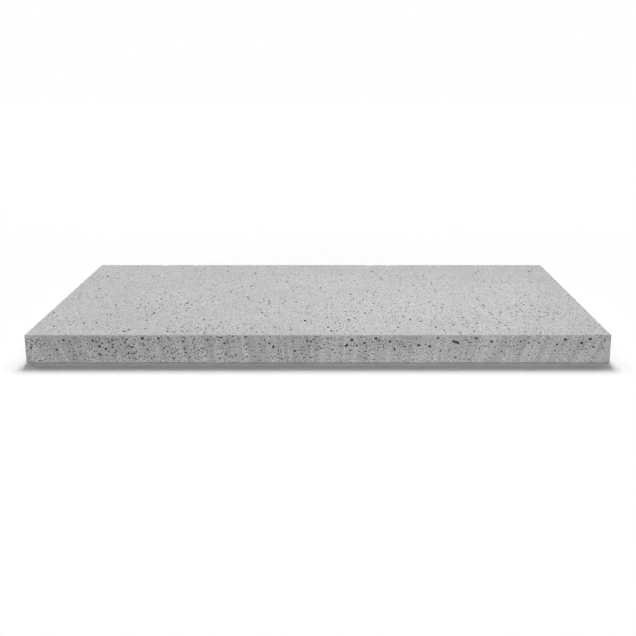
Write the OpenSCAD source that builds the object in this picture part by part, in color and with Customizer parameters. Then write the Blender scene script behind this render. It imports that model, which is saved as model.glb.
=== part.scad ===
// Flat concrete kerb slab, cast in one piece.
// Lies on its base: X runs along the kerb, Y runs back from the front face, Z is up.
// The origin is the middle of the base.

/* [Slab] */
// Length along the kerb, end to end
slab_length = 1000; // [400:10:1500]
// Depth from the front face to the back face
slab_depth = 600; // [200:10:1000]
// Thickness from the base to the top face
slab_thickness = 50; // [30:1:120]

/* [Arrises] */
// Bevel along the four top edges
top_arris = 0.4; // [0.3:0.1:5]
// Bevel along the four bottom edges
base_arris = 1.4; // [0.3:0.1:5]
// Bevel down the four upright corners
corner_arris = 1; // [0.3:0.1:5]

/* [Blowholes] */
// Depth of a blowhole, as a share of half its mouth
blowhole_depth = 0.95; // [0.4:0.05:1]
// Spacing of the seeded blowholes along the back and the ends
blowhole_pitch = 27; // [20:1:60]
// Narrowest mouth of a seeded blowhole
blowhole_min = 2.5; // [1.5:0.1:4]
// Widest mouth of a seeded blowhole
blowhole_max = 6; // [4.5:0.1:8]
// Least distance from a seeded blowhole's middle to an edge
blowhole_margin = 6; // [6:0.5:10]
// Seed of the blowholes that follow no list
blowhole_seed = 11; // [1:1:99]

/* [Chips] */
// Length along the arris of a chip of size 1
chip_length = 4; // [3:0.5:9]
// How far a chip of size 1 bites in from the sharp arris
chip_bite = 2; // [1.6:0.1:3]

/* [Hidden] */

CONCRETE = "#c3c1c2";
SPHERE_FACES = 32;
OVERRUN = 2;

// The blowholes that show most, as [along, up, mouth, run, lean].
// along: place from the middle of the face, in hundredths of its length.
// up: on the front, height in hundredths of the thickness.
//     On the top, place from the middle, in hundredths of the depth.
// mouth: width in mm. run: how much longer than wide, in mm. lean: way of the long side.
FRONT_BLOWHOLES = [
    [-49.0, 55, 4.0, 1.0, 60],
    [-44.6, 48, 4.0, 0.5, 60],
    [-43.4, 82, 4.0, 0.5, 70],
    [-38.4, 80, 4.0, 1.5, 140],
    [-36.8, 71, 4.0, 0.0, 0],
    [-37.3, 60, 4.5, 1.0, 20],
    [-36.2, 51, 4.5, 0.5, 120],
    [-35.1, 57, 3.5, 1.5, 120],
    [-37.3, 31, 4.5, 2.0, 150],
    [-32.9, 74, 4.0, 0.5, 90],
    [-31.6, 58, 3.5, 0.0, 0],
    [-32.4, 36, 4.0, 0.5, 110],
    [-29.9, 88, 5.0, 1.0, 80],
    [-27.2, 88, 3.8, 1.0, 110],
    [-29.1, 49, 3.5, 0.5, 90],
    [-24.7, 17, 4.0, 0.0, 0],
    [-18.8, 83, 3.8, 0.0, 0],
    [-16.8, 17, 3.5, 0.0, 0],
    [-8.3, 70, 3.5, 1.5, 115],
    [-7.6, 59, 4.0, 2.5, 75],
    [-1.8, 80, 4.2, 0.0, 0],
    [5.8, 83, 5.2, 0.5, 90],
    [4.9, 63, 4.5, 3.0, 60],
    [6.6, 63, 4.0, 0.5, 0],
    [9.9, 88, 4.2, 3.0, 175],
    [12.3, 77, 4.5, 0.5, 90],
    [13.1, 50, 3.5, 3.0, 100],
    [17.2, 64, 4.2, 3.0, 0],
    [19.1, 60, 4.5, 1.0, 150],
    [20.5, 90, 4.2, 0.5, 0],
    [23.3, 77, 5.0, 4.5, 165],
    [23.9, 72, 5.0, 1.5, 120],
    [27.0, 89, 4.2, 1.0, 0],
    [29.6, 77, 4.5, 1.8, 155],
    [42.2, 84, 4.5, 2.5, 0],
    [40.8, 66, 4.0, 0.5, 0],
    [45.0, 72, 4.5, 1.5, 30],
    [46.4, 86, 4.5, 2.0, 0],
];
TOP_BLOWHOLES = [
    [-46.5, -40.5, 4.5, 3.0, 100],
    [-41.7, -37.0, 4.5, 3.0, 110],
    [-33.5, -45.8, 5.0, 3.5, 90],
    [-26.0, -45.8, 4.5, 3.0, 90],
    [-35.2, -42.5, 3.5, 2.5, 93],
    [-31.5, -9.2, 4.0, 3.0, 120],
    [-14.2, -2.8, 4.5, 3.0, 90],
    [-9.7, -28.0, 4.5, 3.0, 90],
    [-7.0, 20.3, 5.0, 2.5, 101],
    [-5.5, 6.0, 4.5, 3.0, 100],
    [-2.0, -15.3, 4.0, 3.0, 90],
    [1.7, -41.3, 4.5, 3.0, 92],
    [11.4, 37.8, 5.0, 2.5, 90],
    [13.1, 25.2, 5.0, 2.5, 90],
    [15.5, -29.2, 4.5, 3.0, 103],
    [16.0, 6.3, 4.5, 3.0, 100],
    [17.3, -11.3, 4.5, 3.0, 97],
    [18.3, -34.5, 4.5, 3.0, 90],
    [21.8, -44.7, 4.0, 3.0, 90],
    [22.2, 30.0, 5.5, 3.0, 70],
    [23.5, 4.7, 4.5, 3.0, 85],
    [28.2, -37.0, 4.0, 3.0, 102],
    [33.0, -39.5, 4.0, 3.0, 99],
    [35.6, -18.7, 4.0, 3.0, 90],
    [46.0, 38.0, 6.0, 3.0, 100],
];

// Chips on the arrises, as [side, height, along, size].
// side: turn from the front face, in degrees. height: 1 on the top arris, 0 on the bottom one.
// along: hundredths of that side's length from its middle. size: times chip_length and chip_bite.
CHIPS = [
    [180, 1, 35.5, 3.0],
    [180, 1, 28.4, 2.3],
    [180, 1, 27.0, 1.6],
    [180, 1, -11.2, 3.2],
    [180, 1, -13.9, 1.8],
    [180, 1, -15.3, 2.3],
    [180, 1, -16.9, 2.1],
    [180, 1, -24.8, 1.7],
    [0, 0, 8.7, 1.0],
    [0, 0, -19.5, 1.2],
    [90, 1, 21.0, 1.5],
    [90, 0, -33.0, 1.7],
    [-90, 1, -8.0, 1.4],
    [-90, 0, 27.0, 1.6],
];
// The bites that make a chip, as [place, size]: shares of its length and of its depth.
BITES = [[-0.3, 0.75], [0, 1], [0.28, 0.85]];

// Radius of the sphere that leaves a mouth this wide and this deep in a flat face.
function bowl_radius(mouth, deep) = (pow(mouth / 2, 2) + pow(deep, 2)) / (2 * deep);

// Length of the side face that is turned this far from the front.
function side_length(turn) = abs(turn) == 90 ? slab_depth : slab_length;

// Distance from the slab's middle to that side face.
function side_reach(turn) = (abs(turn) == 90 ? slab_length : slab_depth) / 2;

// A rectangle centred on X that stands on Y = 0, with its corners bevelled.
function bevelled(span, height, low, high) = [
    [low - span / 2, 0],
    [span / 2 - low, 0],
    [span / 2, low],
    [span / 2, height - high],
    [span / 2 - high, height],
    [high - span / 2, height],
    [-span / 2, height - high],
    [-span / 2, low],
];

// A spherical hollow in the plane Z = 0, opening towards +Z.
module bowl(mouth, deep) {
    radius = bowl_radius(mouth, deep);
    translate([0, 0, radius - deep]) sphere(r = radius, $fn = SPHERE_FACES);
}

// A blowhole: one bubble, or two that ran together along the lean.
module blowhole(mouth, run, lean) {
    deep = blowhole_depth * mouth / 2;
    if (run > 0) {
        rotate(lean) for (end = [-1, 1]) translate([end * run / 2, 0, 0]) bowl(mouth, deep);
    } else {
        bowl(mouth, deep);
    }
}

// Children drawn on the plane Z = 0 move to a side face, with +Z pointing out of it.
module on_side(turn, along, up)
    rotate(turn) translate([along, -side_reach(turn), up]) rotate([90, 0, 0]) children();

// The clean casting: three bevelled profiles, one along each axis, where they cross.
module casting() {
    intersection() {
        rotate([90, 0, 0])
            linear_extrude(height = slab_depth + OVERRUN, center = true)
                polygon(bevelled(slab_length, slab_thickness, base_arris, top_arris));
        rotate([90, 0, 90])
            linear_extrude(height = slab_length + OVERRUN, center = true)
                polygon(bevelled(slab_depth, slab_thickness, base_arris, top_arris));
        translate([0, -slab_depth / 2, 0])
            linear_extrude(height = slab_thickness)
                polygon(bevelled(slab_length, slab_depth, corner_arris, corner_arris));
    }
}

module listed_blowholes() {
    for (hole = FRONT_BLOWHOLES)
        on_side(0, hole[0] * slab_length / 100, hole[1] * slab_thickness / 100)
            blowhole(hole[2], hole[3], hole[4]);
    for (hole = TOP_BLOWHOLES)
        translate([hole[0] * slab_length / 100, hole[1] * slab_depth / 100, slab_thickness])
            blowhole(hole[2], hole[3], hole[4]);
}

// One blowhole in each stretch of a side face, at a random height and size.
// The cube of the random share keeps most of them small.
module seeded_blowholes(turn) {
    span = side_length(turn);
    stretches = floor(span / blowhole_pitch);
    step = span / stretches;
    wander = (step - blowhole_max) / 2;
    heights = rands(blowhole_margin, slab_thickness - blowhole_margin, stretches, blowhole_seed + turn);
    shifts = rands(-wander, wander, stretches, blowhole_seed + turn + 1);
    shares = rands(0, 1, stretches, blowhole_seed + turn + 2);
    for (i = [0 : stretches - 1])
        on_side(turn, (i + 0.5) * step - span / 2 + shifts[i], heights[i])
            blowhole(blowhole_min + (blowhole_max - blowhole_min) * pow(shares[i], 3), 0, 0);
}

// Ragged nibbles out of the arrises, each a row of round bites centred on the arris.
module chips() {
    for (chip = CHIPS) {
        size = chip[3];
        on_side(chip[0], chip[2] * side_length(chip[0]) / 100, chip[1] * slab_thickness)
            for (bite = BITES)
                translate([bite[0] * size * chip_length, 0, 0])
                    rotate([0, 90, 0])
                        sphere(r = bite[1] * size * chip_bite, $fn = SPHERE_FACES);
    }
}

module kerb_slab() {
    color(CONCRETE)
        difference() {
            casting();
            listed_blowholes();
            for (turn = [90, 180, -90]) seeded_blowholes(turn);
            chips();
        }
}

kerb_slab();
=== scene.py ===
"""Concrete kerb slab: a flat cast slab, pitted with blowholes, on a plain pale floor."""

import logging
import math
from collections.abc import Iterable
from dataclasses import dataclass, field
from enum import Enum

import bmesh
import bpy
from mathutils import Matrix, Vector, noise


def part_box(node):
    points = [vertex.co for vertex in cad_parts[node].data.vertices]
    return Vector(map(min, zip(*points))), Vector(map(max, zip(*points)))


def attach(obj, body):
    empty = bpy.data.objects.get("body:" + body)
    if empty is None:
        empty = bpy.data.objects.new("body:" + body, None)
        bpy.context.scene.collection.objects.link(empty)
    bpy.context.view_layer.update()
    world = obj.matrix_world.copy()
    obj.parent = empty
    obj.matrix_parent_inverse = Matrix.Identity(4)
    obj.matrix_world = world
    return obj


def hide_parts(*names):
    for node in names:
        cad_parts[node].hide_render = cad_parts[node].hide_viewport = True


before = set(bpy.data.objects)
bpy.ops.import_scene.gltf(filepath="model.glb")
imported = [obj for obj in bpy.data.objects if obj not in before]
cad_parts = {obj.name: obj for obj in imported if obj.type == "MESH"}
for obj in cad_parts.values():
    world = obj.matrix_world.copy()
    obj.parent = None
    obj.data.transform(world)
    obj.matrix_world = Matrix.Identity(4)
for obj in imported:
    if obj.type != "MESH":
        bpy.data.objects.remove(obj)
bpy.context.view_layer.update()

log = logging.getLogger("kerb_slab")

MM = 0.001
ON_PLANE = 1e-6
PORE = "pore"

# Settings that many nodes share.
ABSOLUTE = {"operation": "ABSOLUTE"}
ADD = {"operation": "ADD"}
SUBTRACT = {"operation": "SUBTRACT"}
MULTIPLY = {"operation": "MULTIPLY"}
MULTIPLY_ADD = {"operation": "MULTIPLY_ADD"}
MINIMUM = {"operation": "MINIMUM"}
POWER = {"operation": "POWER"}
SCALE = {"operation": "SCALE"}
FLOAT = {"data_type": "FLOAT"}
COLOUR = {"data_type": "RGBA"}
EASED = {"interpolation_type": "SMOOTHSTEP"}

# What feeds a node's input: a socket, or a node, which stands for its first output.
Source = bpy.types.NodeSocket | bpy.types.Node


class Side(Enum):
    """A group of the slab's faces, with the least and greatest upward lean of their normals."""

    TOP = (0.9, 1.1)
    UPRIGHT = (-0.1, 0.1)
    BASE = (-1.1, -0.9)


class Hollow(Enum):
    """Shape of a small hollow: a ball, or a pointed pit with this many sides."""

    BUBBLE = 0
    PIT = 6
    SPECK = 4


def linear(code: str) -> tuple[float, float, float, float]:
    """Turn a colour as the eye picks it into the light that Blender mixes.

    Args:
        code: sRGB colour as six hexadecimal digits.

    Returns:
        Linear red, green and blue, with full alpha.
    """
    parts = [int(code[i : i + 2], 16) / 255 for i in (0, 2, 4)]
    red, green, blue = (c / 12.92 if c <= 0.04045 else ((c + 0.055) / 1.055) ** 2.4 for c in parts)
    return (red, green, blue, 1.0)


def triangles(piece: bpy.types.Object) -> int:
    """Count a mesh's triangles."""
    return sum(len(face.vertices) - 2 for face in piece.data.polygons)


def open_edges(shell: bmesh.types.BMesh) -> int:
    """Count the edges that don't have one face on each side."""
    return sum(not edge.is_manifold for edge in shell.edges)


def bake(piece: bpy.types.Object) -> None:
    """Turn a piece with its modifiers into one plain mesh.

    Args:
        piece: the piece, which keeps its name.
    """
    graph = bpy.context.evaluated_depsgraph_get()
    mesh = bpy.data.meshes.new_from_object(piece.evaluated_get(graph))
    piece.modifiers.clear()
    old = piece.data
    piece.data = mesh
    mesh.name = piece.name
    bpy.data.meshes.remove(old)


def connected(faces: Iterable[bmesh.types.BMFace]) -> list[list[bmesh.types.BMFace]]:
    """Sort faces into groups that hang together by their edges.

    Args:
        faces: the faces to sort. A face that is not among them joins nothing.

    Returns:
        The groups.
    """
    unseen = dict.fromkeys(faces)
    groups = []
    for start in list(unseen):
        if start not in unseen:
            continue
        del unseen[start]
        group = [start]
        for face in group:
            for near in (other for edge in face.edges for other in edge.link_faces):
                if near in unseen:
                    del unseen[near]
                    group.append(near)
        groups.append(group)
    return groups


@dataclass
class Graph:
    """A node tree, with one way to add nodes and link them."""

    tree: bpy.types.NodeTree

    def add(
        self, kind: str, settings: dict | None = None, feeds: tuple = (), **named: object
    ) -> bpy.types.Node:
        """Add a node, then set its properties and feed its inputs.

        Args:
            kind: Blender's name for the node type.
            settings: properties of the node itself.
            feeds: what feeds the first inputs, in their order. None leaves one as it is.
            named: what feeds other inputs, by name with underscores for spaces.

        Returns:
            The new node.
        """
        node = self.tree.nodes.new(kind)
        for name, value in (settings or {}).items():
            setattr(node, name, value)
        for socket, value in zip(node.inputs, feeds):
            if value is not None:
                self.feed(socket, value)
        for name, value in named.items():
            self.feed(node.inputs[name.replace("_", " ")], value)
        return node

    def feed(self, socket: bpy.types.NodeSocket, value: object) -> None:
        """Link a socket to what feeds it, or set it to a constant.

        Args:
            socket: the input.
            value: a socket, a node or a constant.
        """
        source = value.outputs[0] if isinstance(value, bpy.types.Node) else value
        if isinstance(source, bpy.types.NodeSocket):
            self.tree.links.new(source, socket)
        else:
            socket.default_value = source


@dataclass(frozen=True)
class CutBand:
    """Small hollows of one size range, scattered and cut out by one Geometry Nodes tree.

    The middle of a hollow is sunk below the face by a share of half its width. Stretch is the most
    that one may be longer than wide. A higher steepness makes more of them small.
    """

    name: str
    smallest: float
    largest: float
    spacing: float
    seed: int
    sunk: float = 0.3
    stretch: float = 1.4
    steepness: float = 3.0

    def inputs(self) -> dict[str, float]:
        """Name the sizes that the tree takes, with their values."""
        return {"Smallest": self.smallest, "Largest": self.largest, "Spacing": self.spacing}

    def scatter(self, graph: Graph, given: bpy.types.NodeOutputs) -> tuple[Source, Source]:
        """Place the hollows.

        Args:
            graph: the tree that is being built.
            given: the tree's inputs.

        Returns:
            The points, and the turn of each one.
        """
        raise NotImplementedError

    def cutter(self, graph: Graph) -> Source:
        """Make the shape of one hollow, one metre across, centred on the origin."""
        raise NotImplementedError

    def tree(self) -> bpy.types.GeometryNodeTree:
        """Build the Geometry Nodes tree that scatters the hollows and cuts them out.

        Returns:
            A tree that takes the slab's mesh and the sizes, and gives the cut mesh.
        """
        tree = bpy.data.node_groups.new(self.name, "GeometryNodeTree")
        sockets = tree.interface
        sockets.new_socket("Geometry", in_out="INPUT", socket_type="NodeSocketGeometry")
        for label in self.inputs():
            sockets.new_socket(label, in_out="INPUT", socket_type="NodeSocketFloat")
        sockets.new_socket("Seed", in_out="INPUT", socket_type="NodeSocketInt")
        sockets.new_socket("Concrete", in_out="INPUT", socket_type="NodeSocketMaterial")
        sockets.new_socket("Geometry", in_out="OUTPUT", socket_type="NodeSocketGeometry")
        graph = Graph(tree)
        given = graph.add("NodeGroupInput").outputs
        points, turns = self.scatter(graph, given)
        sunk = graph.add(
            "GeometryNodeTransform", Geometry=self.cutter(graph), Translation=(0, 0, -self.sunk / 2)
        )
        cutters = graph.add(
            "GeometryNodeInstanceOnPoints",
            Points=points,
            Instance=sunk,
            Rotation=turns,
            Scale=self.scale(graph, given),
        )
        single = graph.add("GeometryNodeRealizeInstances", feeds=(cutters,))
        cut = graph.add(
            "GeometryNodeMeshBoolean",
            {"operation": "DIFFERENCE", "solver": "MANIFOLD"},
            (given["Geometry"], single),
        )
        whole = graph.add("GeometryNodeRealizeInstances", feeds=(cut.outputs["Mesh"],))
        dressed = graph.add("GeometryNodeSetMaterial", Geometry=whole, Material=given["Concrete"])
        graph.add("NodeGroupOutput", feeds=(dressed,))
        return tree

    def scale(self, graph: Graph, given: bpy.types.NodeOutputs) -> Source:
        """Give each hollow its width. Most are small, because the random share is raised to a power.

        Args:
            graph: the tree that is being built.
            given: the tree's inputs.

        Returns:
            The length, the width and the depth, as one vector.
        """
        share = graph.add("FunctionNodeRandomValue", FLOAT, (None, None, 0.0, 1.0), Seed=self.seed + 2)
        most_small = graph.add("ShaderNodeMath", POWER, (share.outputs["Value"], self.steepness))
        grow = graph.add("ShaderNodeMath", SUBTRACT, (given["Largest"], given["Smallest"]))
        width = graph.add("ShaderNodeMath", MULTIPLY_ADD, (grow, most_small, given["Smallest"]))
        longer = graph.add(
            "FunctionNodeRandomValue", FLOAT, (None, None, 1.0, self.stretch), Seed=self.seed + 3
        )
        length = graph.add("ShaderNodeMath", MULTIPLY, (width, longer.outputs["Value"]))
        return graph.add("ShaderNodeCombineXYZ", X=length, Y=width, Z=width)

    def cut(self, piece: bpy.types.Object, concrete: bpy.types.Material) -> None:
        """Run the tree on a piece and keep the result as its plain mesh.

        Args:
            piece: the slab, which must be closed.
            concrete: the finish that the tree sets.
        """
        tree = self.tree()
        modifier = piece.modifiers.new(self.name, "NODES")
        modifier.node_group = tree
        values = {**self.inputs(), "Seed": self.seed, "Concrete": concrete}
        for item in tree.interface.items_tree:
            if item.in_out == "INPUT" and item.name in values:
                modifier[item.identifier] = values[item.name]
        bake(piece)
        log.info("%s: now %d triangles", self.name, triangles(piece))


@dataclass(frozen=True)
class PoreBand(CutBand):
    """Air bubbles that the mould left open in one group of faces.

    Density is in bubbles for each square metre, and shares are of the density to keep. Spans are
    places on the slab, and angles are in degrees. Rise is how far the cutter of a pit stands up, in
    widths. It makes up for how far the pit is sunk, so that the wide end is level with the face.
    """

    side: Side = Side.TOP
    density: float = 1000.0
    shape: Hollow = Hollow.BUBBLE
    rise: float = 0.15
    cluster: float = 60 * MM
    cluster_cut: tuple[float, float] = (0.38, 0.62)
    sparse: float = 0.2
    depth_span: tuple[float, float] = (-250 * MM, 200 * MM)
    back_share: float = 0.36
    off_front: tuple[float, float] = (-0.9, -0.5)
    off_front_share: float = 0.4
    right_span: tuple[float, float] = (-200 * MM, 300 * MM)
    right_share: float = 0.75
    bare_span: tuple[float, float] = (-100 * MM, 300 * MM)
    bare_height: tuple[float, float] = (10 * MM, 36 * MM)
    bare_share: float = 0.8
    level_lean: float = 90
    level_stray: float = 15
    lean_span: tuple[float, float] = (-400 * MM, 400 * MM)
    side_leans: tuple[float, float] = (-38, 8)
    side_stray: float = 28

    def inputs(self) -> dict[str, float]:
        """Name the sizes that the tree takes, with their values."""
        return {**super().inputs(), "Density": self.density}

    def scatter(self, graph: Graph, given: bpy.types.NodeOutputs) -> tuple[Source, Source]:
        """Place the bubbles over the chosen faces, none nearer to the next than the spacing.

        Args:
            graph: the tree that is being built.
            given: the tree's inputs.

        Returns:
            The points, and the turn of each one.
        """
        normal = graph.add("ShaderNodeSeparateXYZ", feeds=(graph.add("GeometryNodeInputNormal"),))
        least, most = self.side.value
        lean = normal.outputs["Z"]
        over = graph.add("FunctionNodeCompare", {"operation": "GREATER_THAN"}, (lean, least))
        under = graph.add("FunctionNodeCompare", {"operation": "LESS_THAN"}, (lean, most))
        spread = graph.add(
            "GeometryNodeDistributePointsOnFaces",
            {"distribute_method": "POISSON"},
            Mesh=given["Geometry"],
            Selection=graph.add("FunctionNodeBooleanMath", {"operation": "AND"}, (over, under)),
            Distance_Min=given["Spacing"],
            Density_Max=given["Density"],
            Density_Factor=self.crowding(graph, normal),
            Seed=given["Seed"],
        )
        return spread.outputs["Points"], self.turn(graph, spread)

    def crowding(self, graph: Graph, normal: bpy.types.Node) -> Source:
        """Crowd the bubbles in some places and thin them in others.

        Level faces have most near the front, and the sides on the front and towards its left end. To
        the right they keep to the upper half.

        Args:
            graph: the tree that is being built.
            normal: the face's normal, in three parts.

        Returns:
            The share of the density to keep at each place.
        """
        patches = graph.add("ShaderNodeTexNoise", Scale=1 / self.cluster, Detail=1.0)
        share = graph.add("ShaderNodeMapRange", EASED, (patches, *self.cluster_cut, self.sparse, 1.0))
        place = graph.add("ShaderNodeSeparateXYZ", feeds=(graph.add("GeometryNodeInputPosition"),))
        x, y, z = place.outputs
        if self.side is not Side.UPRIGHT:
            near = graph.add("ShaderNodeMapRange", EASED, (y, *self.depth_span, 1.0, self.back_share))
            return graph.add("ShaderNodeMath", MULTIPLY, (share, near))
        front = graph.add(
            "ShaderNodeMapRange",
            EASED,
            (normal.outputs["Y"], *self.off_front, 1.0, self.off_front_share),
        )
        left = graph.add("ShaderNodeMapRange", EASED, (x, *self.right_span, 1.0, self.right_share))
        right = graph.add("ShaderNodeMapRange", EASED, (x, *self.bare_span, 0.0, self.bare_share))
        below = graph.add("ShaderNodeMapRange", EASED, (z, *self.bare_height, 1.0, 0.0))
        bare = graph.add("ShaderNodeMath", MULTIPLY, (right, below))
        clear = graph.add("ShaderNodeMath", SUBTRACT, (1.0, bare))
        along = graph.add("ShaderNodeMath", MULTIPLY, (front, left))
        kept = graph.add("ShaderNodeMath", MULTIPLY, (along, clear))
        return graph.add("ShaderNodeMath", MULTIPLY, (share, kept))

    def turn(self, graph: Graph, spread: bpy.types.Node) -> Source:
        """Turn each bubble about the face's normal, to lie as the mix was drawn.

        On level faces that is front to back. On the sides the bubbles lean down to the right at the
        left end, and lie nearly level at the right one.

        Args:
            graph: the tree that is being built.
            spread: the node that gives the points.

        Returns:
            The rotation of each point.
        """
        if self.side is Side.UPRIGHT:
            place = graph.add("ShaderNodeSeparateXYZ", feeds=(graph.add("GeometryNodeInputPosition"),))
            leans = [math.radians(angle) for angle in self.side_leans]
            lean = graph.add("ShaderNodeMapRange", EASED, (place, *self.lean_span, *leans))
            stray = math.radians(self.side_stray)
        else:
            lean = math.radians(self.level_lean)
            stray = math.radians(self.level_stray)
        off = graph.add("FunctionNodeRandomValue", FLOAT, (None, None, -stray, stray), Seed=self.seed + 1)
        spin = graph.add("ShaderNodeMath", ADD, (lean, off.outputs["Value"]))
        about = graph.add("FunctionNodeAxisAngleToRotation", Axis=(0, 0, 1), Angle=spin)
        upright = graph.add(
            "FunctionNodeAlignRotationToVector", {"axis": "Z"}, Vector=spread.outputs["Normal"]
        )
        return graph.add("FunctionNodeRotateRotation", {"rotation_space": "LOCAL"}, (upright, about))

    def cutter(self, graph: Graph) -> Source:
        """Make one bubble: a coarse ball, or a pointed pit where it is too small to show more.

        Args:
            graph: the tree that is being built.

        Returns:
            The shape, pointing down.
        """
        if self.shape is Hollow.BUBBLE:
            return graph.add("GeometryNodeMeshIcoSphere", Radius=0.5, Subdivisions=1)
        cone = graph.add(
            "GeometryNodeMeshCone",
            Vertices=self.shape.value,
            Radius_Top=0.5 + self.rise / 2,
            Radius_Bottom=0.0,
            Depth=1.0 + self.rise,
        )
        return graph.add("GeometryNodeTransform", Geometry=cone, Translation=(0, 0, -1))


@dataclass(frozen=True)
class NickBand(CutBand):
    """Crumbs knocked out of the arrises, where two faces of the slab meet."""

    jitter: float = 2.0 * MM

    def scatter(self, graph: Graph, given: bpy.types.NodeOutputs) -> tuple[Source, Source]:
        """Place the crumbs along the twelve arrises, clear of the corners.

        Args:
            graph: the tree that is being built.
            given: the tree's inputs.

        Returns:
            The points, and the turn of each one along its arris.
        """
        low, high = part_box("kerb_slab")
        block = graph.add("GeometryNodeMeshCube", Size=tuple(high - low))
        raised = graph.add("GeometryNodeTransform", Geometry=block, Translation=tuple((low + high) / 2))
        lines = graph.add("GeometryNodeMeshToCurve", Mesh=raised)
        even = graph.add(
            "GeometryNodeResampleCurve", {"mode": "LENGTH"}, Curve=lines, Length=given["Spacing"]
        )
        ends = graph.add("GeometryNodeCurveEndpointSelection", Start_Size=1, End_Size=1)
        clear = graph.add(
            "GeometryNodeDeleteGeometry", {"domain": "POINT"}, Geometry=even, Selection=ends
        )
        points = graph.add("GeometryNodeCurveToPoints", {"mode": "EVALUATED"}, Curve=clear)
        along = points.outputs["Tangent"]
        by = graph.add(
            "FunctionNodeRandomValue",
            FLOAT,
            (None, None, -self.jitter, self.jitter),
            Seed=self.seed + 4,
        )
        slide = graph.add("ShaderNodeVectorMath", SCALE, (along,), Scale=by.outputs["Value"])
        moved = graph.add("GeometryNodeSetPosition", Geometry=points, Offset=slide)
        return moved, graph.add("FunctionNodeAlignRotationToVector", {"axis": "X"}, Vector=along)

    def cutter(self, graph: Graph) -> Source:
        """Make one crumb, as a coarse ball."""
        return graph.add("GeometryNodeMeshIcoSphere", Radius=0.5, Subdivisions=1)


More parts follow.
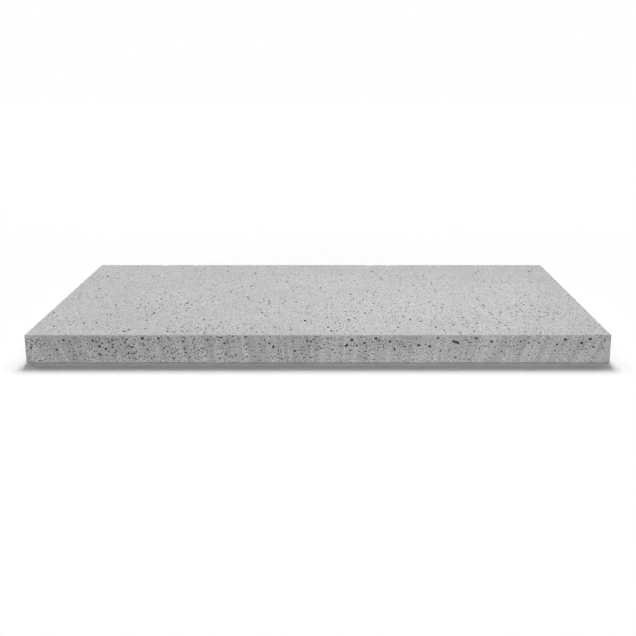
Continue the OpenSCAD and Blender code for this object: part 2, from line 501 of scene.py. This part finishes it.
@dataclass(frozen=True)
class CastConcrete:
    """Pale grey cast concrete, struck off and floated on top.

    The eye gets a matt cement skin with faint clouds, creases and a sandy grain, a little darker at the
    ends and the back, with old dirt and painted shade in every pore, and streaks down the sides. The
    sides carry painted light from the floor that pales them to the foot, painted contact shade at the
    foot itself and painted shade on the back face.
    Tones are shares of the skin's own colour, and cuts are the stretches of a noise that make them.
    Real sand is finer than the two grains, which are drawn as coarse as they need to be to show.
    """

    # The skin, with its clouds and its faint roughness.
    skin: str = "c3c0c2"
    roughness: float = 0.92
    broad_cut: tuple[float, float] = (0.3, 0.7)
    fine_cut: tuple[float, float] = (0.25, 0.75)
    cloud_size: float = 120 * MM
    cloud_tones: tuple[float, float] = (0.965, 1.035)
    bump: float = 0.4
    bump_height: float = 0.3 * MM
    # The dirt and painted shade in the pores, which come in over this stretch of depth.
    pore_dirt_and_shade: str = "3f3d3d"
    dirt_and_shade_depth: tuple[float, float] = (0.05 * MM, 0.4 * MM)
    dirt_and_shade_share: float = 0.95
    # The top, which begins this far below its own face.
    top_edge: tuple[float, float] = (1.4 * MM, 0.6 * MM)
    margin: float = 70 * MM
    margin_tone: float = 0.98
    rim: float = 16 * MM
    rim_tone: float = 0.955
    crease_size: float = 260 * MM
    crease_width: tuple[float, float] = (0.0015, 0.005)
    crease_patches: tuple[float, float] = (0.5, 0.62)
    crease_shift: tuple[float, float, float] = (3.1, 1.7, 0.0)
    crease_tone: float = 0.93
    pale_spot: tuple[float, float] = (150 * MM, -60 * MM)
    pale_reach: tuple[float, float] = (600 * MM, 440 * MM)
    pale_tones: tuple[float, float] = (1.04, 0.965)
    top_grain: float = 1.5 * MM
    top_drag: float = 0.4
    top_tones: tuple[float, float] = (0.65, 1.34)
    # The sides. The left end differs from the rest as far as the middle of the slab.
    side_grain: float = 1.5 * MM
    side_drag: float = 0.5
    side_tones: tuple[float, float] = (0.55, 1.38)
    side_coarse: tuple[float, float] = (1.22, 1.04)
    streak_width: float = 9 * MM
    streak_drag: float = 0.08
    streak_tones: tuple[float, float] = (0.855, 1.125)
    left_tone: float = 0.88
    right_tone: float = 1.0
    fan: float = 1.1
    # Painted light from the floor: the sides darken from the foot up to the head.
    painted_light_head: float = 0.86
    painted_light_foot: float = 1.0
    # Painted shade on the back face, coming in over this stretch from its edge.
    back_painted_shade_edge: tuple[float, float] = (1.6 * MM, 0.6 * MM)
    back_painted_shade_tone: float = 0.88
    # Painted contact shade: a darker band at the foot, where it meets the floor.
    painted_contact_shade: float = 0.5
    painted_contact_shade_height: tuple[float, float] = (1.0 * MM, 1.7 * MM)

    def material(self) -> bpy.types.Material:
        """Build the finish on Object coordinates.

        Returns:
            The material.
        """
        concrete = bpy.data.materials.new("cast_concrete")
        concrete.use_nodes = True
        graph = Graph(concrete.node_tree)
        graph.tree.nodes.clear()
        place = graph.add("ShaderNodeTexCoord").outputs["Object"]
        axes = graph.add("ShaderNodeSeparateXYZ", feeds=(place,))
        gaps = self.gaps(graph, axes)
        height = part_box("kerb_slab")[1].z
        edge = [height - below for below in self.top_edge]
        upper = graph.add("ShaderNodeMapRange", EASED, (axes.outputs["Z"], *edge, 0.0, 1.0))
        both = graph.add(
            "ShaderNodeMix",
            FLOAT,
            Factor=upper,
            A=self.sides(graph, axes),
            B=self.level(graph, place, axes, gaps[0]),
        )
        tone = graph.add(
            "ShaderNodeMath", MULTIPLY, (self.clouds(graph, place), both.outputs["Result"])
        )
        plain = graph.add("ShaderNodeRGB")
        plain.outputs[0].default_value = linear(self.skin)
        toned = graph.add("ShaderNodeVectorMath", SCALE, (plain,), Scale=tone)
        # Old dirt and painted shade in the pores.
        dirty_and_shaded = graph.add(
            "ShaderNodeMix", COLOUR, Factor=self.dirt_and_shade(graph, gaps), A=toned, B=linear(self.pore_dirt_and_shade)
        )
        shader = graph.add(
            "ShaderNodeBsdfPrincipled",
            Base_Color=dirty_and_shaded.outputs["Result"],
            Roughness=self.roughness,
            Normal=self.bumps(graph, place),
        )
        graph.add("ShaderNodeOutputMaterial", Surface=shader)
        return concrete

    def gaps(self, graph: Graph, axes: bpy.types.Node) -> tuple[Source, ...]:
        """Measure how far each place lies inside the clean faces: ends, long sides, and top or base.

        Args:
            graph: the tree that is being built.
            axes: the place, in three parts.

        Returns:
            The gap to the nearer end, to the nearer long side, and to the nearer level face.
        """
        low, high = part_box("kerb_slab")
        middle = (low + high) / 2
        parts = []
        for letter, centre, reach in zip("XYZ", middle, (high - low) / 2):
            off = graph.add("ShaderNodeMath", SUBTRACT, (axes.outputs[letter], centre))
            away = graph.add("ShaderNodeMath", ABSOLUTE, (off,))
            parts.append(graph.add("ShaderNodeMath", SUBTRACT, (reach, away)))
        return tuple(parts)

    def dirt_and_shade(self, graph: Graph, gaps: tuple[Source, ...]) -> Source:
        """Put old dirt and painted shade in the marked pores, down from a little below their rims.

        Args:
            graph: the tree that is being built.
            gaps: how far each place lies inside the clean faces.

        Returns:
            The share of dirt and painted shade.
        """
        along, across, upright = gaps
        sideways = graph.add("ShaderNodeMath", MINIMUM, (along, across))
        depth = graph.add("ShaderNodeMath", MINIMUM, (sideways, upright))
        marked = graph.add("ShaderNodeAttribute", {"attribute_name": PORE}).outputs["Fac"]
        deep = graph.add("ShaderNodeMapRange", EASED, (depth, *self.dirt_and_shade_depth, 0.0, self.dirt_and_shade_share))
        return graph.add("ShaderNodeMath", MULTIPLY, (marked, deep))

    def clouds(self, graph: Graph, place: Source) -> Source:
        """Give the faint light and dark clouds of a trowelled face."""
        broad = graph.add("ShaderNodeTexNoise", Vector=place, Scale=1 / self.cloud_size, Detail=5.0)
        return graph.add("ShaderNodeMapRange", EASED, (broad, *self.broad_cut, *self.cloud_tones))

    def level(self, graph: Graph, place: Source, axes: bpy.types.Node, end: Source) -> Source:
        """Give the top its grain, drawn out from front to back, its creases and its darker margins.

        Args:
            graph: the tree that is being built.
            place: the place on the slab.
            axes: the same place, in three parts.
            end: the gap to the nearer end.

        Returns:
            The tone.
        """
        dragged = graph.add("ShaderNodeMapping", Vector=place, Scale=(1.0, self.top_drag, 1.0))
        sand = graph.add("ShaderNodeTexNoise", Vector=dragged, Scale=1 / self.top_grain, Detail=1.0)
        grain = graph.add("ShaderNodeMapRange", EASED, (sand, *self.fine_cut, *self.top_tones))
        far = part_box("kerb_slab")[1].y
        back = graph.add("ShaderNodeMath", SUBTRACT, (far, axes.outputs["Y"]))
        near = graph.add("ShaderNodeMath", MINIMUM, (end, back))
        margin = graph.add(
            "ShaderNodeMapRange", EASED, (near, 0.0, self.margin, self.margin_tone, 1.0)
        )
        rim = graph.add("ShaderNodeMapRange", EASED, (back, 0.0, self.rim, self.rim_tone, 1.0))
        edges = graph.add("ShaderNodeMath", MULTIPLY, (margin, rim))
        edged = graph.add("ShaderNodeMath", MULTIPLY, (grain, edges))
        # The broad pale patch, right of the middle.
        pale_patch = graph.add("ShaderNodeMath", MULTIPLY, (edged, self.pale_patch(graph, place)))
        return graph.add("ShaderNodeMath", MULTIPLY, (pale_patch, self.creases(graph, place)))

    def pale_patch(self, graph: Graph, place: Source) -> Source:
        """Give the broad pale patch, right of the middle, that fades towards the edges.

        Args:
            graph: the tree that is being built.
            place: the place on the slab.

        Returns:
            The tone.
        """
        (x, y), (wide, deep) = self.pale_spot, self.pale_reach
        patch = graph.add(
            "ShaderNodeMapping",
            Vector=place,
            Location=(-x / wide, -y / deep, 0),
            Scale=(1 / wide, 1 / deep, 0),
        )
        away = graph.add("ShaderNodeVectorMath", {"operation": "LENGTH"}, (patch,))
        return graph.add("ShaderNodeMapRange", EASED, (away.outputs["Value"], 0.0, 1.0, *self.pale_tones))

    def creases(self, graph: Graph, place: Source) -> Source:
        """Give a few thin dark creases, where the float lifted the skin.

        Args:
            graph: the tree that is being built.
            place: the place on the slab.

        Returns:
            The tone.
        """
        slow = graph.add("ShaderNodeTexNoise", Vector=place, Scale=1 / self.crease_size, Detail=3.0)
        off = graph.add("ShaderNodeMath", SUBTRACT, (slow, 0.5))
        off_line = graph.add("ShaderNodeMath", ABSOLUTE, (off,))
        moved = graph.add("ShaderNodeMapping", Vector=place, Location=self.crease_shift)
        patches = graph.add("ShaderNodeTexNoise", Vector=moved, Scale=2 / self.crease_size)
        fade = graph.add(
            "ShaderNodeMapRange", EASED, (patches, *self.crease_patches, 1.0, self.crease_tone)
        )
        line = graph.add("ShaderNodeMapRange", EASED, (off_line, *self.crease_width, 1.0, 0.0))
        return graph.add("ShaderNodeMix", FLOAT, Factor=line, A=1.0, B=fade).outputs["Result"]

    def sides(self, graph: Graph, axes: bpy.types.Node) -> Source:
        """Give the sides their grain and streaks, which lean in from both ends towards the foot.

        They carry painted light from the floor, which pales them towards the foot, painted contact shade
        right at the foot where it meets the floor, and painted shade on the back.

        Args:
            graph: the tree that is being built.
            axes: the place, in three parts.

        Returns:
            The tone.
        """
        low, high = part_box("kerb_slab")
        left_half = (low.x, (low.x + high.x) / 2)
        x, y, z = axes.outputs
        narrowed = graph.add("ShaderNodeMath", MULTIPLY_ADD, (z, -self.fan, 1.0))
        fanned = graph.add("ShaderNodeMath", MULTIPLY, (x, narrowed))
        spot = graph.add("ShaderNodeCombineXYZ", X=fanned, Y=y, Z=z)
        fine = graph.add("ShaderNodeMapping", Vector=spot, Scale=(1.0, 1.0, self.side_drag))
        sand = graph.add("ShaderNodeTexNoise", Vector=fine, Scale=1 / self.side_grain, Detail=1.0)
        grain = graph.add("ShaderNodeMapRange", EASED, (sand, *self.fine_cut, *self.side_tones))
        coarse = graph.add("ShaderNodeMapRange", EASED, (x, *left_half, *self.side_coarse))
        swing = graph.add("ShaderNodeMath", SUBTRACT, (grain, 1.0))
        speckle = graph.add("ShaderNodeMath", MULTIPLY_ADD, (swing, coarse, 1.0))
        long = graph.add("ShaderNodeMapping", Vector=spot, Scale=(1.0, 1.0, self.streak_drag))
        lines = graph.add("ShaderNodeTexNoise", Vector=long, Scale=1 / self.streak_width, Detail=3.0)
        streaks = graph.add("ShaderNodeMapRange", EASED, (lines, *self.broad_cut, *self.streak_tones))
        # Painted light from the floor, paler towards the foot.
        fade = graph.add("ShaderNodeMapRange", EASED, (z, 0.0, high.z, self.painted_light_foot, self.painted_light_head))
        # Painted contact shade at the foot, where it meets the floor.
        painted_contact_shade = graph.add("ShaderNodeMapRange", EASED, (z, *self.painted_contact_shade_height, self.painted_contact_shade, 1.0))
        along = graph.add(
            "ShaderNodeMapRange", EASED, (x, *left_half, self.left_tone, self.right_tone)
        )
        # Painted shade on the back face.
        edge = [high.y - inward for inward in self.back_painted_shade_edge]
        back_painted_shade = graph.add("ShaderNodeMapRange", EASED, (y, *edge, 1.0, self.back_painted_shade_tone))
        upright = graph.add("ShaderNodeMath", MULTIPLY, (fade, painted_contact_shade))
        broad = graph.add("ShaderNodeMath", MULTIPLY, (upright, along))
        streaked = graph.add("ShaderNodeMath", MULTIPLY, (streaks, back_painted_shade))
        tone = graph.add("ShaderNodeMath", MULTIPLY, (streaked, broad))
        return graph.add("ShaderNodeMath", MULTIPLY, (speckle, tone))

    def bumps(self, graph: Graph, place: Source) -> Source:
        """Give the skin its faint roughness."""
        sand = graph.add("ShaderNodeTexNoise", Vector=place, Scale=1 / self.side_grain, Detail=4.0)
        return graph.add("ShaderNodeBump", Strength=self.bump, Distance=self.bump_height, Height=sand)


@dataclass
class KerbSlab:
    """The slab itself: the CAD casting with the relief and the small pores of real concrete."""

    finish: CastConcrete = field(default_factory=CastConcrete)
    # Joining the loose triangles of the CAD mesh, and edges too short to matter.
    merge: float = 0.001 * MM
    # Thinning: the share of facets that is kept, deeper than the rim.
    kept_share: float = 0.15
    rim: float = 0.03 * MM
    # Lumps inside the hollows of the CAD mesh. The share is of the depth of the place.
    lump: float = 2.5 * MM
    lump_height: float = 0.8 * MM
    lump_share: float = 0.35
    lump_seed: int = 7
    # Cells of the clean faces, and the bend under which two of them are one.
    top_cell: float = 50 * MM
    side_cell: float = 10 * MM
    flat: float = math.radians(0.6)
    # Shading: a sharper bend than the crease shows as an edge, and a face askew is inside a hollow.
    crease: float = math.radians(40)
    skew: float = 0.02
    # Marking: how near a clean face's normal is to the true one, and the mark of a chip.
    true: float = 5e-4
    chip_mark: float = 0.2
    bands: tuple[CutBand, ...] = (
        NickBand("nicks", 0.7 * MM, 3.0 * MM, spacing=12 * MM, seed=3, sunk=0.0, stretch=2.2),
        PoreBand(
            "top_bubbles", 3.0 * MM, 5.4 * MM, spacing=14 * MM, seed=5, stretch=2.8, density=1900
        ),
        PoreBand(
            "side_bubbles",
            2.5 * MM,
            3.8 * MM,
            spacing=8 * MM,
            seed=21,
            side=Side.UPRIGHT,
            stretch=1.8,
            density=3700,
        ),
        PoreBand(
            "top_pits",
            1.9 * MM,
            3.2 * MM,
            spacing=7 * MM,
            seed=40,
            stretch=3.0,
            density=4500,
            shape=Hollow.PIT,
        ),
        PoreBand(
            "side_pits",
            1.9 * MM,
            2.9 * MM,
            spacing=3.8 * MM,
            seed=60,
            side=Side.UPRIGHT,
            stretch=1.8,
            density=11500,
            shape=Hollow.PIT,
        ),
        PoreBand(
            "top_specks",
            1.4 * MM,
            2.1 * MM,
            spacing=4.2 * MM,
            seed=80,
            stretch=3.0,
            density=8500,
            shape=Hollow.SPECK,
        ),
        PoreBand(
            "side_specks",
            1.2 * MM,
            2.1 * MM,
            spacing=2.3 * MM,
            seed=90,
            side=Side.UPRIGHT,
            stretch=2.0,
            density=80000,
            shape=Hollow.SPECK,
        ),
        PoreBand(
            "base_pits",
            2.0 * MM,
            3.4 * MM,
            spacing=20 * MM,
            seed=120,
            side=Side.BASE,
            density=900,
            shape=Hollow.PIT,
        ),
    )

    def build(self) -> bpy.types.Object:
        """Make the piece that stands for the CAD slab.

        Returns:
            The finished object, riding on the root body.
        """
        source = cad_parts["kerb_slab"]
        piece = bpy.data.objects.new("slab_skin", source.data.copy())
        bpy.context.scene.collection.objects.link(piece)
        self.weld(piece)
        self.thin(piece)
        self.roughen(piece)
        self.score(piece)
        concrete = self.finish.material()
        for band in self.bands:
            band.cut(piece, concrete)
        self.drop_pockets(piece)
        piece.data.materials.clear()
        piece.data.materials.append(concrete)
        self.smooth(piece)
        self.mark(piece)
        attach(piece, "root")
        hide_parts("kerb_slab")
        return piece

    def weld(self, piece: bpy.types.Object) -> None:
        """Join the loose triangles of the CAD mesh, and drop the normals that it came with.

        Args:
            piece: the slab, fresh from the CAD mesh.
        """
        shell = bmesh.new()
        shell.from_mesh(piece.data)
        bmesh.ops.remove_doubles(shell, verts=shell.verts, dist=self.merge)
        shell.to_mesh(piece.data)
        shell.free()
        for name in ("custom_normal", "sharp_edge", "sharp_face"):
            if name in piece.data.attributes:
                piece.data.attributes.remove(piece.data.attributes[name])

    def depths(self, piece: bpy.types.Object) -> list[float]:
        """Measure how far each vertex lies inside the nearest clean face or bevel.

        Args:
            piece: the slab, with its clean faces still whole enough to show where the bevels start.

        Returns:
            The depth of each vertex, in metres.
        """
        low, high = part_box("kerb_slab")
        spots = [vert.co for vert in piece.data.vertices]
        top = high.x - max(spot.x for spot in spots if high.z - spot.z < ON_PLANE)
        base = high.x - max(spot.x for spot in spots if spot.z - low.z < ON_PLANE)
        corner = high.y - max(spot.y for spot in spots if high.x - spot.x < ON_PLANE)
        found = []
        for spot in spots:
            along = min(spot.x - low.x, high.x - spot.x)
            across = min(spot.y - low.y, high.y - spot.y)
            side = min(along, across)
            over, under = high.z - spot.z, spot.z - low.z
            bevel = min(along + across - corner, side + over - top, side + under - base)
            found.append(min(side, over, under, bevel / math.sqrt(2)))
        return found

    def thin(self, piece: bpy.types.Object) -> None:
        """Drop most of the fine facets inside the blowholes, and leave their rims and the clean faces.

        Args:
            piece: the joined slab.
        """
        inside = piece.vertex_groups.new(name="inside")
        deep = [place for place, depth in enumerate(self.depths(piece)) if depth > self.rim]
        inside.add(deep, 1.0, "REPLACE")
        fewer = piece.modifiers.new("thin", "DECIMATE")
        fewer.ratio = self.kept_share
        fewer.vertex_group = inside.name
        bake(piece)
        piece.vertex_groups.clear()
        log.info("thinned to %d triangles", triangles(piece))

    def roughen(self, piece: bpy.types.Object) -> None:
        """Make the insides of the blowholes and chips uneven, more so where they are deep.

        Args:
            piece: the thinned slab.
        """
        noise.seed_set(self.lump_seed)
        for vert, depth in zip(piece.data.vertices, self.depths(piece)):
            if depth > self.rim:
                reach = min(self.lump_height, self.lump_share * depth)
                vert.co += noise.noise_vector(vert.co / self.lump) * reach

    def score(self, piece: bpy.types.Object) -> None:
        """Cut the clean faces into even cells.

        Args:
            piece: the slab, with its clean faces still whole.
        """
        low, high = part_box("kerb_slab")
        shell = bmesh.new()
        shell.from_mesh(piece.data)
        bmesh.ops.dissolve_limit(shell, angle_limit=self.flat, verts=shell.verts, edges=shell.edges)
        for axis in range(2):
            self.slice(shell, axis, low[axis], high[axis], self.top_cell, Side.TOP)
        for axis in range(3):
            self.slice(shell, axis, low[axis], high[axis], self.side_cell, Side.UPRIGHT)
        bmesh.ops.triangulate(shell, faces=shell.faces)
        log.info("scored to %d faces, %d open edges", len(shell.faces), open_edges(shell))
        shell.to_mesh(piece.data)
        shell.free()

    def slice(
        self, shell: bmesh.types.BMesh, axis: int, start: float, end: float, cell: float, side: Side
    ) -> None:
        """Cut one group of faces by evenly spaced planes.

        Args:
            shell: the mesh to cut.
            axis: 0 for planes across X, 1 for Y and 2 for Z.
            start: where the slab begins along that axis.
            end: where it ends.
            cell: spacing of the planes, at most.
            side: the group of faces that is cut.
        """
        count = math.ceil((end - start) / cell)
        across = Vector([1.0 if place == axis else 0.0 for place in range(3)])
        least, most = side.value
        for step in range(1, count):
            at = start + (end - start) * step / count
            faces = [
                face
                for face in shell.faces
                if least < face.normal.z < most
                and min(v.co[axis] for v in face.verts) < at < max(v.co[axis] for v in face.verts)
            ]
            edges = dict.fromkeys(edge for face in faces for edge in face.edges)
            corners = dict.fromkeys(vert for face in faces for vert in face.verts)
            bmesh.ops.bisect_plane(
                shell,
                geom=[*corners, *edges, *faces],
                dist=ON_PLANE,
                plane_co=across * at,
                plane_no=across,
            )

    def drop_pockets(self, piece: bpy.types.Object) -> None:
        """Keep the outer skin alone, and close up edges that are too short to matter.

        The cutter of a pit ends level with the face, so rounding leaves a few pits sealed just below it.

        Args:
            piece: the slab, with all its hollows cut.
        """
        shell = bmesh.new()
        shell.from_mesh(piece.data)
        *pockets, outer = sorted(connected(shell.faces), key=len)
        bmesh.ops.delete(shell, geom=[face for pocket in pockets for face in pocket], context="FACES")
        bmesh.ops.dissolve_degenerate(shell, dist=self.merge, edges=shell.edges)
        log.info(
            "dropped %d sealed pockets from a skin of %d faces, %d open edges left",
            len(pockets),
            len(outer),
            open_edges(shell),
        )
        shell.to_mesh(piece.data)
        shell.free()

    def smooth(self, piece: bpy.types.Object) -> None:
        """Shade the insides of the hollows smooth, and leave the clean faces and the bevels flat.

        Args:
            piece: the slab, with all its hollows cut.
        """
        for face in piece.data.polygons:
            face.use_smooth = min(abs(part) for part in face.normal) > self.skew
        piece.data.set_sharp_from_angle(angle=self.crease)

    def mark(self, piece: bpy.types.Object) -> None:
        """Mark the pores, for the finish to put dirt and painted shade in.

        A hollow that breaks out through an arris is a chip. Its face is fresher, so its mark is faint.

        Args:
            piece: the finished slab.
        """
        shell = bmesh.new()
        shell.from_mesh(piece.data)
        pore = shell.faces.layers.float.new(PORE)
        clean = [face for face in shell.faces if self.clean(face)]
        ways = {face: tuple(round(part) for part in face.normal) for face in clean}
        for hollow in connected(face for face in shell.faces if face not in ways):
            edges = (edge for face in hollow for edge in face.edges)
            rim = {ways[face] for edge in edges for face in edge.link_faces if face in ways}
            for face in hollow:
                face[pore] = 1.0 if len(rim) == 1 else self.chip_mark
        shell.to_mesh(piece.data)
        shell.free()

    def clean(self, face: bmesh.types.BMFace) -> bool:
        """Tell whether a face belongs to the slab's flat faces or bevels, by its normal alone.

        Args:
            face: the face.

        Returns:
            True for a clean face, and False for one inside a hollow.
        """
        least, middle, most = sorted(abs(part) for part in face.normal)
        level = 1.0 - most < self.true
        bevel = most - middle < self.true and least < self.true
        return level or bevel


@dataclass(frozen=True)
class FloorWhite:
    """Matt white, to stand the slab on.

    The eye gets plain white, which the lift brings up to 1. The slab gets the light of pale grey.
    """

    seen: str = "ffffff"
    lit: str = "909090"
    lift: float = 0.055

    def material(self) -> bpy.types.Material:
        """Build the finish.

        Returns:
            The material.
        """
        white = bpy.data.materials.new("floor_white")
        white.use_nodes = True
        graph = Graph(white.node_tree)
        graph.tree.nodes.clear()
        looked_at = graph.add("ShaderNodeLightPath").outputs["Is Camera Ray"]
        tone = graph.add(
            "ShaderNodeMix", COLOUR, Factor=looked_at, A=linear(self.lit), B=linear(self.seen)
        )
        matt = graph.add("ShaderNodeBsdfDiffuse", Color=tone.outputs["Result"])
        raised = graph.add("ShaderNodeMath", MULTIPLY, (looked_at, self.lift))
        glow = graph.add("ShaderNodeEmission", Strength=raised)
        both = graph.add("ShaderNodeAddShader", feeds=(matt, glow))
        graph.add("ShaderNodeOutputMaterial", Surface=both)
        return white


@dataclass(frozen=True)
class SoftSun:
    """One far lamp.

    Strength is in watts for each square metre. Spread, its width in the sky, and turn are in degrees.
    Unturned, it shines straight down.
    """

    name: str
    strength: float
    spread: float
    turn: tuple[float, float, float]

    def hang(self) -> None:
        """Add the lamp to the scene."""
        data = bpy.data.lights.new(self.name, "SUN")
        data.energy = self.strength
        data.angle = math.radians(self.spread)
        lamp = bpy.data.objects.new(self.name, data)
        lamp.rotation_euler = [math.radians(part) for part in self.turn]
        bpy.context.scene.collection.objects.link(lamp)


@dataclass
class Studio:
    """A white floor, soft light from above and behind, and the camera."""

    floor_half: float = 12.0
    finish: FloorWhite = field(default_factory=FloorWhite)
    suns: tuple[SoftSun, ...] = (
        SoftSun("key_high", 0.5, 20, (34, 0, 180)),
        SoftSun("key_middle", 2.515, 22, (46.5, 0, 180)),
        SoftSun("key_left", 0.45, 18, (50, 0, 146)),
        SoftSun("key_right", 0.45, 18, (50, 0, -146)),
        SoftSun("fill_left", 1.27, 5, (87.9, 0, -35)),
        SoftSun("fill_right", 1.27, 5, (87.9, 0, 35)),
    )
    ambient: float = 0.058
    lens: float = 56.81
    shift: float = -0.0195
    stand: tuple[float, float, float] = (0.0213, -1.947, 0.5051)
    down: float = 14.47

    def build(self) -> None:
        """Lay the floor, hang the lamps and set the camera."""
        self.floor()
        for sun in self.suns:
            sun.hang()
        self.camera()
        self.surround()

    def floor(self) -> None:
        """Lay the floor under the slab."""
        half = self.floor_half
        mesh = bpy.data.meshes.new("floor")
        corners = [(-half, -half, 0), (half, -half, 0), (half, half, 0), (-half, half, 0)]
        mesh.from_pydata(corners, [], [(0, 1, 2, 3)])
        mesh.materials.append(self.finish.material())
        floor = bpy.data.objects.new("floor", mesh)
        bpy.context.scene.collection.objects.link(floor)

    def camera(self) -> None:
        """Set the camera in front of the slab and a little above it, looking down by some degrees."""
        data = bpy.data.cameras.new("camera")
        data.lens = self.lens
        data.shift_x = self.shift
        camera = bpy.data.objects.new("camera", data)
        camera.location = self.stand
        camera.rotation_euler = (math.radians(90 - self.down), 0, 0)
        bpy.context.scene.collection.objects.link(camera)
        bpy.context.scene.camera = camera

    def surround(self) -> None:
        """Light the scene faintly from all round, against plain white."""
        world = bpy.data.worlds.new("surround")
        bpy.context.scene.world = world
        world.use_nodes = True
        graph = Graph(world.node_tree)
        graph.tree.nodes.clear()
        looked_at = graph.add("ShaderNodeLightPath").outputs["Is Camera Ray"]
        dim = graph.add("ShaderNodeBackground", Color=(1, 1, 1, 1), Strength=self.ambient)
        white = graph.add("ShaderNodeBackground", Color=(1, 1, 1, 1), Strength=1.0)
        mixed = graph.add("ShaderNodeMixShader", feeds=(looked_at, dim, white))
        graph.add("ShaderNodeOutputWorld", Surface=mixed)


def clear_defaults() -> None:
    """Remove the cube, lamp and camera that a new file starts with."""
    for name in ("Cube", "Light", "Camera"):
        if name in bpy.data.objects:
            bpy.data.objects.remove(bpy.data.objects[name])


def main() -> None:
    """Build the slab and the studio, and report the piece."""
    logging.basicConfig(level=logging.INFO, format="%(name)s: %(message)s")
    clear_defaults()
    slab = KerbSlab().build()
    log.info("%s: %d triangles", slab.name, triangles(slab))
    Studio().build()
    bpy.context.scene.view_settings.view_transform = "Standard"


if __name__ == "__main__":
    main()
